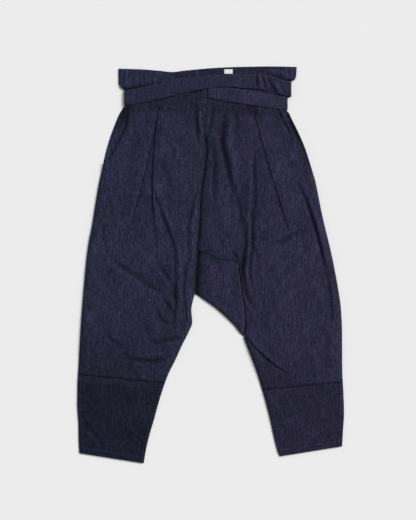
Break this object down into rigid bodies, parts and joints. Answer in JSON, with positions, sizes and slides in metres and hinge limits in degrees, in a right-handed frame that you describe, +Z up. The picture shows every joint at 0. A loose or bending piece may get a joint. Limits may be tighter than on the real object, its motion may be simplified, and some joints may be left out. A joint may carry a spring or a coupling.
{
  "type": "momohiki trousers",
  "caption": "Loose denim work trousers laid flat on their back, with pleated fronts, gusset, slanted pockets, tapered cuffs and a crossed waist tie.",
  "frame": {"origin": "on the surface it lies on, under the centre of the bounding box", "axes": "+X to the right as the front is seen, +Y up the garment to the waist, +Z up from the surface"},
  "size_m": [0.6399, 0.9504, 0.0105],
  "materials": {
    "denim": "matte slubby indigo twill",
    "tie_denim": "matte indigo twill, folded and stitched flat",
    "label_cotton": "smooth white tape, blank"
  },
  "bodies": {
    "root": {"back_left": "denim", "back_right": "denim", "back_cuff_left": "denim", "back_cuff_right": "denim", "front_left": "denim", "front_right": "denim", "front_cuff_left": "denim", "front_cuff_right": "denim", "gusset": "denim", "pocket_facing_left": "denim", "pocket_facing_right": "denim", "back_waistband": "denim", "front_waistband_left": "denim", "front_waistband_right": "denim", "tie_left": "tie_denim", "tie_upper": "tie_denim", "tie_lower": "tie_denim", "tie_back": "tie_denim", "tie_anchor": "tie_denim", "tie_loop": "denim", "size_label": "label_cotton"}
  },
  "joints": []
}
